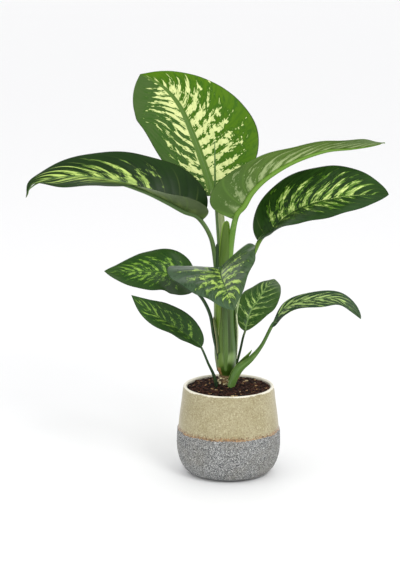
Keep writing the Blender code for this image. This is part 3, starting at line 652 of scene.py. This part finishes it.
# Sheaths: thin open wraps round a stalk or the stem. Middle and half are turns round it in half circles, at
# equal steps from foot to top, 0 towards the viewer and positive to the right; stand is how far off it they
# are, in mm.
sheaths = {
    "stemSheath": {
        "route": points((-4.6, 8.3, 172), (-4.8, 7, 194), (-5, 6, 216), (-5.8, 4.5, 246), (-6.5, 2.4, 280),
                        (-8, 0, 325)),
        "radii": (15.2, 17.6, 18, 17.6, 17.2, 16.8), "middle": (-0.65, -0.64, -0.62, -0.58, -0.55, -0.54),
        "half": (0.3, 0.36, 0.4, 0.44, 0.46, 0.46), "stand": (-0.4, 0.5, 0.7, 0.8, 0.8, 0.8),
        "low": tone(76, 98, 40), "high": tone(112, 144, 44), "edge": tone(176, 178, 128), "edgeAt": 0.965},
    "stemSheathRight": {
        "route": points((-4.6, 8.3, 176), (-4.8, 7, 194), (-5, 6, 216), (-5.8, 4.5, 246), (-6.5, 2.4, 280),
                        (-8, 0, 325)),
        "radii": (15.9, 17.6, 18, 17.6, 17.2, 16.8), "middle": (0.62, 0.6, 0.6, 0.6, 0.62, 0.64),
        "half": (0.16, 0.2, 0.26, 0.27, 0.24, 0.2), "stand": (-0.3, 0.5, 1.4, 1.8, 0.9, 0.5),
        "low": tone(66, 92, 40), "high": tone(72, 100, 48), "edge": tone(110, 132, 80), "edgeAt": 0.9},
    "tongueSheath": {
        "route": points((-8, -5, 318), (-8.5, -6, 350), (-7.2, -7, 385), (-5, -7, 427)),
        "radii": (9.5, 8.6, 7.4, 4.5), "middle": (0.0, 0.0, 0.02, 0.05), "half": (0.55, 0.52, 0.5, 0.42),
        "stand": (0.3, 0.3, 0.3, 0.2), "low": tone(70, 96, 32), "high": tone(78, 106, 26),
        "edge": tone(130, 166, 60), "edgeAt": 0.72},
    # This sheath's dark greens are painted shade: the shaded inside of a wrap between the stalks.
    "shadedSheath": {
        "route": points((-17, -4, 318), (-17, -4, 345), (-18, -4, 368), (-19.8, -4, 389)),
        "radii": (5.4, 5.0, 4.2, 2.6), "middle": (0.1, 0.1, 0.1, 0.1), "half": (0.55, 0.52, 0.5, 0.4),
        "stand": (0.3, 0.3, 0.3, 0.2), "low": tone(40, 62, 28), "high": tone(32, 54, 24),
        "edge": tone(58, 84, 40), "edgeAt": 0.8},
    "leftSheath": {
        "route": points((-17.5, -6.5, 205), (-20.5, -7.3, 229), (-24.5, -7.8, 250), (-28.5, -8, 266)),
        "radii": (3.6, 3.4, 3.2, 2.9), "middle": (0.35, 0.35, 0.35, 0.35), "half": (0.5, 0.45, 0.4, 0.3),
        "stand": (0.4, 0.6, 0.9, 0.7), "low": tone(60, 78, 38), "high": tone(92, 104, 60),
        "edge": tone(128, 128, 88), "edgeAt": 0.8},
    "paperWing": {
        "route": points((-4.8, 7, 192), (-5, 6, 214), (-5.8, 4.5, 238), (-6.3, 3.2, 262), (-7, 1.6, 284),
                        (-5.5, 1, 306)),
        "radii": (17.6, 18, 17.8, 17.4, 17.2, 17), "middle": (0.44, 0.43, 0.43, 0.43, 0.42, 0.4),
        "half": (0.03, 0.05, 0.06, 0.05, 0.05, 0.04), "stand": (0.6, 1.6, 3.2, 2.2, 1.6, 3.4),
        "low": tone(158, 172, 118), "high": tone(186, 198, 150), "edge": tone(214, 218, 188),
        "edgeAt": 0.6},
    "lowerSheath": {
        "route": points((5, -13.6, 156), (12, -16.4, 172), (23, -21, 189), (33, -24, 201),
                        (41, -26.5, 210.5)),
        "radii": (6.6, 7.2, 6.6, 5.4, 4.4), "middle": (-0.8, -0.8, -0.78, -0.7, -0.6),
        "half": (0.3, 0.3, 0.3, 0.3, 0.25), "stand": (0.2, 0.3, 0.4, 0.6, 0.6), "low": tone(112, 146, 74),
        "high": tone(84, 120, 38), "edge": tone(118, 150, 66), "edgeAt": 0.9},
}
sheathBuild = {
    "across": 28, "thickness": 0.5 * mm, "crown": 0.14, "curl": 0.5 * mm, "curlFrom": 0.8, "bumps": 0.2 * mm,
    "bumpScale": 3}
sheathLook = {
    "fibres": (9, 12, 5.1, 1.4), "fibre": (0.4, 0.75, 0.4), "fibreTone": tone(52, 82, 26),
    "marginRagged": 0.08, "marginSoft": 0.04, "bump": (0.4 * mm, 0.4)}


def makeSheath(name, sheath):
    build, look, count = sheathBuild, sheathLook, stepsAlong(sheath["route"])
    found, length = evenRoute(sheath["route"], sheath["radii"], count)
    aheads = directions(found)
    bm = bmesh.new()
    skin = bm.verts.layers.float_vector.new("skin")
    bmesh.ops.create_grid(bm, x_segments=count, y_segments=build["across"], size=1)
    for vert in bm.verts:
        share, wing = (vert.co.x + 1) / 2, vert.co.y
        index = round(share * count)
        spot, radius = found[index]
        front = (towardsViewer - aheads[index] * towardsViewer.dot(aheads[index])).normalized()
        right = aheads[index].cross(front)
        crown = math.sqrt(max(0, 1 - max(0, (share - 1 + build["crown"]) / build["crown"]) ** 2))
        half = smoothPoint(sheath["half"], share) * wing * crown
        turn = (smoothPoint(sheath["middle"], share) + half) * math.pi
        curl = build["curl"] * max(0, abs(wing) - build["curlFrom"]) / (1 - build["curlFrom"])
        bumps = build["bumps"] * noise.noise(vert.co * build["bumpScale"])
        size = radius + smoothPoint(sheath["stand"], share) * mm + curl + bumps
        vert.co = spot + (front * math.cos(turn) + right * math.sin(turn)) * size
        vert[skin] = (share * length, wing, share)
    bmesh.ops.recalc_face_normals(bm, faces=bm.faces)
    bmesh.ops.solidify(bm, geom=bm.faces[:], thickness=build["thickness"])
    bmesh.ops.recalc_face_normals(bm, faces=bm.faces)
    material, w = newMaterial(name + "Skin")
    run, wing, share = w.attribute("skin").parts()
    fibres = w.fibres(wing, run, *look["fibres"])
    colour = fibres.lay(share.mix(sheath["low"], sheath["high"]), look["fibreTone"], *look["fibre"])
    margin = abs(wing) + (fibres - 0.5) * look["marginRagged"]
    margin = margin.rise(sheath["edgeAt"], sheath["edgeAt"] + look["marginSoft"])
    dress(w, colour=margin.mix(colour, sheath["edge"]), roughness=margin * 0.3 + 0.36, specular=0.3,
          normal=w.bump(fibres, *look["bump"]))
    addPiece(name, bm, material, "stem_green")


for sheathName, sheathSettings in sheaths.items():
    makeSheath(sheathName, sheathSettings)
print("sheaths done")

# The main stem. Turns are in half circles from the side towards the viewer, positive to the right, except
# in bulge, whose turns are in radians. Heights are in mm above the ground. A bulge is its height, a turn,
# how far it reaches up and round, and how proud it is.
stem = {
    "route": points((-4.5, 9, 122.5), (-4.5, 9, 150), (-4.5, 8.5, 165), (-4.7, 8, 178), (-5, 6, 208),
                    (-6.3, 3, 262), (-8, 0, 325)), "radii": (11, 10.5, 11.5, 16.3, 18, 17.2, 16.8),
    "around": 144, "foot": 122.5, "length": 203, "ridges": 9, "ridgeDepth": 0.25, "ridgeWander": 2,
    "ridgeRise": (170, 215), "bulge": (197, 0.25, 9, 0.9, 0.9), "barkLumps": 0.5, "barkRings": 0.4,
    "ringPitch": 210, "barkFade": (166, 160)}
stemLook = {
    "fibres": (9, 7, 1.7, 2), "clouds": 55, "front": tone(46, 66, 16), "right": tone(68, 96, 44),
    "rightRise": (0.12, 0.26), "left": tone(88, 116, 34), "leftRise": (-0.02, -0.12),
    "seam": tone(58, 44, 24), "seamTurn": 0.03, "seamEdge": (0.06, 0.02), "seamRise": (215, 250),
    "seamShare": 0.6, "fibre": (0.42, 0.72, 0.4), "fibreTone": tone(88, 120, 50),
    "bulge": tone(156, 184, 116), "bulgeHighlightHeight": 197, "bulgeHighlightTall": (14, 2), "bulgeHighlightTurn": 0.12,
    "bulgeHighlightWide": (0.3, 0.1), "bulgeHighlightShare": 0.55, "skirt": tone(44, 70, 14), "skirtRagged": 14,
    "skirtTurn": 0.1, "skirtDip": 22, "skirtEdge": (190, 184, 0.85),
    "bark": (tone(74, 50, 32), tone(150, 126, 86)), "barkMix": (0.35, 0.65), "barkRagged": 5, "barkDip": 2,
    "barkEdge": (165.5, 163), "scar": tone(158, 122, 72), "scarTurn": -0.26, "scarHeight": 173,
    "scarWide": (0.11, 0.05), "scarTall": (9, 4), "scarRagged": (0.15, 8), "bump": (0.5 * mm, 0.4)}


def makeStem():
    def shape(turn, share, radius):
        height = stem["foot"] + share * stem["length"]
        wander = stem["ridgeWander"] * noise.noise(Vector((turn, share * 3, 1)))
        ridges = stem["ridgeDepth"] * math.cos(turn * stem["ridges"] + wander)
        ridges *= ease(height, *stem["ridgeRise"])
        bulgeHighlightHeight, bulgeHighlightTurn, tall, wide, proud = stem["bulge"]
        bulge = proud * math.exp(-((height - bulgeHighlightHeight) / tall) ** 2 - ((turn - bulgeHighlightTurn) / wide) ** 2)
        bark = stem["barkLumps"] * noise.noise(Vector((turn * 3, share * 60, 2)))
        bark += stem["barkRings"] * math.sin(share * stem["ringPitch"])
        bark *= ease(height, *stem["barkFade"])
        return radius + (ridges + bulge + bark) * mm

    bm = makeTube(stem["route"], stem["radii"], towardsViewer, 0, shape, stem["around"])
    addPiece("stem", bm, stemMaterial(), "stem_green", "main_stem")


def stemMaterial():
    look = stemLook
    material, w = newMaterial("stemSkin")
    run, turn = w.attribute("skin").parts()[:2]
    height = run * 1000 + stem["foot"]  # in mm
    lines, cloud = w.fibres(turn, run, *look["fibres"]), w.noise(w.place(), look["clouds"])
    colour = turn.rise(*look["rightRise"]).mix(look["front"], look["right"])
    colour = turn.rise(*look["leftRise"]).mix(colour, look["left"])
    seam = abs(turn - look["seamTurn"]).rise(*look["seamEdge"]) * height.rise(*look["seamRise"])
    colour = (seam * look["seamShare"]).mix(colour, look["seam"])
    colour = lines.lay(colour, look["fibreTone"], *look["fibre"])
    # Painted highlight: a pale patch on the front of the stem's bulge, where light catches it.
    bulge = abs(height - look["bulgeHighlightHeight"]).rise(*look["bulgeHighlightTall"])
    bulge = bulge * abs(turn - look["bulgeHighlightTurn"]).rise(*look["bulgeHighlightWide"]) * look["bulgeHighlightShare"]
    colour = bulge.mix(colour, look["bulge"])
    skirt = height + (lines - 0.5) * look["skirtRagged"] + abs(turn - look["skirtTurn"]) * look["skirtDip"]
    colour = skirt.lay(colour, look["skirt"], *look["skirtEdge"])
    collar = height + (cloud - 0.5) * look["barkRagged"] - abs(turn) * look["barkDip"]
    collar = collar.rise(*look["barkEdge"])
    colour = collar.mix(colour, cloud.rise(*look["barkMix"]).mix(*look["bark"]))
    around, upwards = look["scarRagged"]
    scar = abs(turn - look["scarTurn"] + (cloud - 0.5) * around).rise(*look["scarWide"])
    scar = scar * abs(height - look["scarHeight"] + (lines - 0.5) * upwards).rise(*look["scarTall"])
    dress(w, colour=scar.mix(colour, look["scar"]), roughness=collar * 0.4 + scar * 0.2 + 0.3, specular=0.35,
          normal=w.bump(lines + collar * cloud * 2, *look["bump"]))
    return material


# Young roots that break out round the foot of the stem, in mm. bumps is their depth, their scale on a lump,
# and the scale that makes each lump differ from its neighbours.
knobs = {
    "count": 70, "seed": 5, "heights": (148.5, 162.5), "sizes": (0.9, 2.3), "fine": 3, "centre": (-4.5, 8.8),
    "out": 10.2, "splay": 0.3, "stretch": (1.1, 1.1, 0.75), "bumps": (0.3, 500, 700),
    "tones": (tone(112, 88, 54), tone(224, 214, 170)), "clouds": 240, "mix": (0.35, 0.65)}


def addLump(bm, centre, size, subdivisions, stretch, turn, bumps):
    bit, mesh = bmesh.new(), bpy.data.meshes.new("bit")
    bmesh.ops.create_icosphere(bit, subdivisions=subdivisions, radius=size)
    depth, scale, shift = bumps
    for vert in bit.verts:
        rough = 1 + depth * noise.noise(vert.co * scale + centre * shift)
        x, y, z = [part * longer * rough for part, longer in zip(vert.co, stretch)]
        vert.co = centre + Vector((x * math.cos(turn) - y * math.sin(turn),
                                   x * math.sin(turn) + y * math.cos(turn), z))
    bit.to_mesh(mesh)
    bit.free()
    bm.from_mesh(mesh)
    bpy.data.meshes.remove(mesh)


def makeKnobs():
    draws, bm = random.Random(knobs["seed"]), bmesh.new()
    for _ in range(knobs["count"]):
        angle = draws.uniform(0, 2 * math.pi)
        height, size = draws.uniform(*knobs["heights"]), draws.uniform(*knobs["sizes"])
        out = knobs["out"] + (knobs["heights"][1] - height) * draws.uniform(0, knobs["splay"])
        x, y = knobs["centre"][0] + out * math.cos(angle), knobs["centre"][1] + out * math.sin(angle)
        place = Vector((x, y, height)) * mm
        addLump(bm, place, size * mm, knobs["fine"], knobs["stretch"], 0, knobs["bumps"])
    bmesh.ops.recalc_face_normals(bm, faces=bm.faces)
    material, w = newMaterial("knobSkin")
    cloud = w.noise(w.place(), knobs["clouds"])
    dress(w, colour=cloud.rise(*knobs["mix"]).mix(*knobs["tones"]), roughness=0.7,
          normal=w.bump(cloud, 0.5 * mm, 0.6))
    addPiece("rootKnobs", bm, material, "root")


makeStem()
makeKnobs()
print("stem done")

# The pot: glazed above, bare gritty stoneware below. toast is the brown band along the edge of the glaze.
pot = {
    "height": 148 * mm, "rimRadius": 75 * mm, "bellyRadius": 86.5 * mm, "bellyHeight": 54 * mm,
    "footRadius": 56 * mm, "lowerPower": 2.2, "upperPower": 1.6, "wall": 6 * mm, "floor": 9 * mm,
    "floorEase": 14 * mm, "floorCorner": 10 * mm, "footHollow": 2.5 * mm,
    "footRing": (8 * mm, 6 * mm, 1.5 * mm), "steps": 288, "rows": 110, "insideRows": 24, "lipSteps": 14,
    "glazeLine": 75 * mm, "glazeStep": 0.5 * mm, "wander": 2.2 * mm, "wanderScale": 2.2, "waver": 0.9 * mm,
    "waverScale": 14, "glazeInset": 1.3 * mm, "insetEase": (2 * mm, 30 * mm), "grit": 0.35 * mm,
    "gritScales": (700, 330), "gritEase": (2 * mm, 8 * mm)}
potLook = {
    "fray": (260,), "specks": (420, 2, 0.7), "clouds": (22, 4), "grains": 1120, "ragged": 3 * mm,
    "soft": (-0.4 * mm, 0.4 * mm), "cream": (tone(166, 157, 124), tone(152, 142, 105)),
    "creamMix": (0.3, 0.7), "brown": tone(120, 104, 66), "brownSpeck": (0.5, 0.66, 0.6),
    "pale": tone(210, 202, 168), "paleSpeck": (0.44, 0.3, 0.6),
    "toast": (tone(92, 64, 38), tone(158, 120, 78)), "toastMix": (0.42, 0.58), "toastSpecks": 24 * mm,
    "toastClouds": 10 * mm, "toastEdge": (6.5 * mm, 1 * mm, 0.9), "lip": tone(228, 222, 204),
    "lipHighlightRise": (70.5 * mm, 72 * mm), "stone": (tone(80, 83, 86), tone(156, 157, 155)),
    "stoneMix": (0.2, 0.75), "white": tone(210, 210, 206), "whiteShare": 0.93, "black": tone(34, 33, 33),
    "blackRise": (0.2, 0.12), "dust": tone(126, 120, 104), "dusty": (0.4, 0.75, 0.3), "speckDepth": 0.3,
    "bump": (0.6 * mm, 0.6)}


def potRadius(height):
    belly, power = pot["bellyRadius"], pot["lowerPower"]
    if height < pot["bellyHeight"]:
        drop = 1 - height / pot["bellyHeight"]
        return pot["footRadius"] + (belly - pot["footRadius"]) * (1 - drop ** power) ** (1 / power)
    rise = (height - pot["bellyHeight"]) / (pot["height"] - pot["bellyHeight"])
    return belly - (belly - pot["rimRadius"]) * rise ** pot["upperPower"]


def glazeLine(angle):  # height of the edge of the glaze round the pot
    def wave(scale, seed):
        return noise.noise(Vector((math.cos(angle) * scale, math.sin(angle) * scale, seed)))

    rise = pot["wander"] * wave(pot["wanderScale"], 4.1) + pot["waver"] * wave(pot["waverScale"], 7.7)
    return pot["glazeLine"] + rise


def turned(profile, steps):  # the shape that radii and heights, from axis to axis, make when spun
    bm = bmesh.new()
    verts = [bm.verts.new((radius, 0, z)) for radius, z in profile]
    edges = [bm.edges.new(pair) for pair in zip(verts, verts[1:])]
    bmesh.ops.spin(bm, geom=verts + edges, cent=(0, 0, 0), axis=(0, 0, 1), angle=2 * math.pi, steps=steps,
                   use_merge=True)
    bmesh.ops.remove_doubles(bm, verts=bm.verts, dist=1e-6)
    return bm


def potProfile():
    foot, ring, hollow = pot["footRadius"], pot["footRing"], pot["footHollow"]
    profile = [(0, hollow), (foot - ring[0], hollow), (foot - ring[1], 0), (foot - ring[2], 0)]
    outside = [pot["height"] * (i / pot["rows"]) for i in range(3, pot["rows"] - 3)]
    profile += [(potRadius(z), z) for z in outside]
    lip, turns, rows = pot["wall"] / 2, pot["lipSteps"], pot["insideRows"]
    top = pot["height"] - lip
    middle = potRadius(top) - lip
    angles = [math.pi * i / turns for i in range(turns + 1)]
    profile += [(middle + lip * math.cos(angle), top + lip * math.sin(angle)) for angle in angles]
    inside = [top - (top - pot["floorEase"]) * i / rows for i in range(1, rows + 1)]
    profile += [(potRadius(z) - pot["wall"], z) for z in inside]
    corner = potRadius(pot["floorEase"]) - pot["wall"] - pot["floorCorner"]
    return profile + [(corner, pot["floor"]), (0, pot["floor"])]


def makePot():
    bm = turned(potProfile(), pot["steps"])
    glaze = bm.verts.layers.float.new("glaze")
    step, (coarse, fine) = pot["glazeStep"], pot["gritScales"]
    for vert in bm.verts:
        radius, angle = math.hypot(vert.co.x, vert.co.y), math.atan2(vert.co.y, vert.co.x)
        above = vert.co.z - glazeLine(angle)
        outer = radius > potRadius(min(vert.co.z, pot["height"])) - pot["wall"] / 2
        if outer:
            stone = 1 - ease(above, -step, step)
            grit = pot["grit"] * (noise.noise(vert.co * coarse) + noise.noise(vert.co * fine))
            inset = pot["glazeInset"] * ease(pot["height"] - vert.co.z, *pot["insetEase"])
            change = stone * grit * ease(vert.co.z, *pot["gritEase"]) - (1 - stone) * inset
            vert.co.x += math.cos(angle) * change
            vert.co.y += math.sin(angle) * change
        vert[glaze] = above if outer else 1
    bmesh.ops.recalc_face_normals(bm, faces=bm.faces)
    addPiece("potShell", bm, potMaterial(), "stoneware", "pot")


def potMaterial():
    look = potLook
    material, w = newMaterial("potGlazeAndStone")
    place = w.place()
    fray, speck, cloud = [w.noise(place, *look[kind]) for kind in ("fray", "specks", "clouds")]
    above = w.attribute("glaze").parts()[0] + (fray - 0.5) * look["ragged"]
    glazed = above.rise(*look["soft"])
    cream = cloud.rise(*look["creamMix"]).mix(*look["cream"])
    cream = speck.lay(cream, look["brown"], *look["brownSpeck"])
    cream = speck.lay(cream, look["pale"], *look["paleSpeck"])
    toast = above - (speck - 0.5) * look["toastSpecks"] - (cloud - 0.5) * look["toastClouds"]
    cream = toast.lay(cream, fray.rise(*look["toastMix"]).mix(*look["toast"]), *look["toastEdge"])
    # Painted highlight: the top of the rounded lip is near white.
    cream = above.rise(*look["lipHighlightRise"]).mix(cream, look["lip"])
    kind = w.cells(place, look["grains"], 1).parts()[0]  # each grain's own value
    stone = kind.rise(*look["stoneMix"]).mix(*look["stone"])
    stone = (kind > look["whiteShare"]).mix(stone, look["white"])
    stone = kind.rise(*look["blackRise"]).mix(stone, look["black"])
    stone = cloud.lay(stone, look["dust"], *look["dusty"])
    grit = w.cells(place, look["grains"]) * (1 - glazed) + speck * glazed * look["speckDepth"]
    dress(w, colour=glazed.mix(stone, cream), roughness=(1 - glazed) * 0.5 + 0.32,
          normal=w.bump(grit, *look["bump"]))
    return material


makePot()
print("pot done")

# The potting mix: a low heap with a crust of bark crumbs. Lumps are a scale and a height, and stretches the
# limits of a crumb's length, breadth and height.
soil = {
    "edge": 144 * mm, "heap": 149 * mm, "gap": 0.5 * mm, "depth": 8 * mm, "crust": 2 * mm, "rings": 60,
    "steps": 240, "lumps": ((160, 1.6 * mm), (480, 1.2 * mm)), "settle": 1.0 * mm, "crumbs": 900, "seed": 11,
    "reach": 0.97, "sizes": (0.8 * mm, 2.4 * mm), "fineFrom": 1.7 * mm,
    "stretches": ((0.8, 1.8), (0.6, 1.0), (0.35, 0.7)), "sink": (-0.8 * mm, 0.5 * mm),
    "bumps": (0.45, 600, 900)}
soilLook = {
    "pieces": 260, "grain": (700, 3, 0.7), "bark": (tone(8, 3, 2), tone(66, 36, 24)), "mix": (0.2, 0.95),
    "worn": tone(116, 76, 52), "wornGrain": (0.54, 0.74, 0.7), "pale": tone(150, 116, 78),
    "paleShare": 0.965, "bump": (0.6 * mm, 0.8)}


def soilHeight(radius):
    inner = potRadius(soil["edge"]) - pot["wall"]
    return soil["edge"] + (soil["heap"] - soil["edge"]) * (1 - min(radius / inner, 1) ** 2)


def makeSoil():
    draws, inner = random.Random(soil["seed"]), potRadius(soil["edge"]) - pot["wall"] - soil["gap"]
    radii = [inner * i / soil["rings"] for i in range(soil["rings"] + 1)]
    bottom = soil["edge"] - soil["depth"]
    profile = [(radius, soilHeight(radius)) for radius in radii] + [(inner, bottom), (0, bottom)]
    bm = turned(profile, soil["steps"])
    for vert in bm.verts:
        if vert.co.z > soil["edge"] - soil["crust"]:
            lumps = [noise.noise(vert.co * scale) * depth for scale, depth in soil["lumps"]]
            vert.co.z += sum(lumps) - soil["settle"]
    for _ in range(soil["crumbs"]):
        radius = inner * math.sqrt(draws.random()) * soil["reach"]
        angle = draws.uniform(0, 2 * math.pi)
        size = draws.uniform(*soil["sizes"])
        stretch = [draws.uniform(*limits) for limits in soil["stretches"]]
        turn = draws.uniform(0, 2 * math.pi)
        height = soilHeight(radius) + draws.uniform(*soil["sink"])
        addLump(bm, Vector((radius * math.cos(angle), radius * math.sin(angle), height)), size,
                1 if size < soil["fineFrom"] else 2, stretch, turn, soil["bumps"])
    bmesh.ops.recalc_face_normals(bm, faces=bm.faces)
    material, w = newMaterial("barkSoil")
    place = w.place()
    kind, grain = w.cells(place, soilLook["pieces"], 1).parts()[0], w.noise(place, *soilLook["grain"])
    colour = kind.rise(*soilLook["mix"]).mix(*soilLook["bark"])
    colour = grain.lay(colour, soilLook["worn"], *soilLook["wornGrain"])
    colour = (kind > soilLook["paleShare"]).mix(colour, soilLook["pale"])
    dress(w, colour=colour, roughness=0.9, specular=0.25, normal=w.bump(grain, *soilLook["bump"]))
    addPiece("barkMix", bm, material, "bark_soil", "soil")


# Pale chips of bark, in mm: where each lies, how long it is and how it is turned.
chips = {
    "places": ((30, 27, 147.6, 3.0, 0.4), (37, 7, 147.2, 2.6, 1.9), (26, 20, 148.2, 2.2, 2.6),
               (44, 16, 146.4, 2.0, 0.9), (-38, 12, 146.8, 1.8, 0.2), (-22, -30, 147.4, 1.7, 2.2),
               (18, -40, 147.0, 1.8, 1.2), (5, -71.6, 148.6, 2.2, 0.1)), "fine": 3,
    "stretch": (1.2, 0.6, 0.45), "bumps": (0.4, 500, 900), "tones": (tone(120, 96, 62), tone(206, 186, 140)),
    "grain": 420, "mix": (0.3, 0.6)}


def makeChips():
    bm = bmesh.new()
    for x, y, z, size, turn in chips["places"]:
        addLump(bm, Vector((x, y, z)) * mm, size * mm, chips["fine"], chips["stretch"], turn, chips["bumps"])
    bmesh.ops.recalc_face_normals(bm, faces=bm.faces)
    material, w = newMaterial("chipSkin")
    grain = w.noise(w.place(), chips["grain"])
    dress(w, colour=grain.rise(*chips["mix"]).mix(*chips["tones"]), roughness=0.85,
          normal=w.bump(grain, 0.4 * mm, 0.6))
    addPiece("paleChips", bm, material, "bark_soil")


makeSoil()
makeChips()
print("soil done")

# The roots stay as the model has them, hidden in the mix, with a finish of their own.
roots = {"tones": (tone(150, 118, 78), tone(206, 186, 146)), "clouds": 200, "grain": (500, 2)}


def dressRoots():
    material, w = newMaterial("rootSkin")
    place = w.place()
    dress(w, colour=w.noise(place, roots["clouds"]).mix(*roots["tones"]), roughness=0.7,
          normal=w.bump(w.noise(place, *roots["grain"]), 0.5 * mm, 0.6))
    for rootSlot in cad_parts["roots"].material_slots:
        rootSlot.material = material


dressRoots()
print("roots done")

# Floor, light and camera. A lamp is its place, its size in metres and its power.
studio = {
    "floorRadius": 30, "floorTone": tone(240, 240, 240), "skyTone": tone(252, 252, 253), "sky": 1.1,
    "lamps": {"key": ((1.2, -2.0, 2.2), 1.0, 34), "fill": ((-1.6, -1.0, 1.6), 1.2, 4)}, "aim": (0, 0, 0.35),
    "lens": 101.05, "sensor": 36, "place": (-0.0477, -2.575, 0.851), "pitch": 11.7}


def makeStudio():
    bm = bmesh.new()
    bmesh.ops.create_circle(bm, cap_ends=True, segments=96, radius=studio["floorRadius"])
    mesh = bpy.data.meshes.new("floor")
    bm.to_mesh(mesh)
    bm.free()
    floor = bpy.data.objects.new("floor", mesh)
    bpy.context.scene.collection.objects.link(floor)
    material, w = newMaterial("paleFloor")
    dress(w, colour=studio["floorTone"], roughness=0.6)
    mesh.materials.append(material)

    world = bpy.data.worlds.new("studio")
    world.use_nodes = True
    back = world.node_tree.nodes["Background"]
    back.inputs["Color"].default_value = studio["skyTone"]
    back.inputs["Strength"].default_value = studio["sky"]
    bpy.context.scene.world = world

    for name, (place, size, power) in studio["lamps"].items():
        light = bpy.data.lights.new(name, "AREA")
        light.size, light.energy = size, power
        lamp = bpy.data.objects.new(name, light)
        lamp.location = place
        lamp.rotation_euler = (Vector(studio["aim"]) - Vector(place)).to_track_quat("-Z", "Y").to_euler()
        bpy.context.scene.collection.objects.link(lamp)

    lens = bpy.data.cameras.new("camera")
    lens.lens, lens.sensor_width = studio["lens"], studio["sensor"]
    camera = bpy.data.objects.new("camera", lens)
    camera.location = studio["place"]
    camera.rotation_euler = (math.radians(90 - studio["pitch"]), 0, 0)
    bpy.context.scene.collection.objects.link(camera)
    bpy.context.scene.camera = camera
    bpy.context.scene.view_settings.view_transform = "Standard"


makeStudio()
print("studio done")
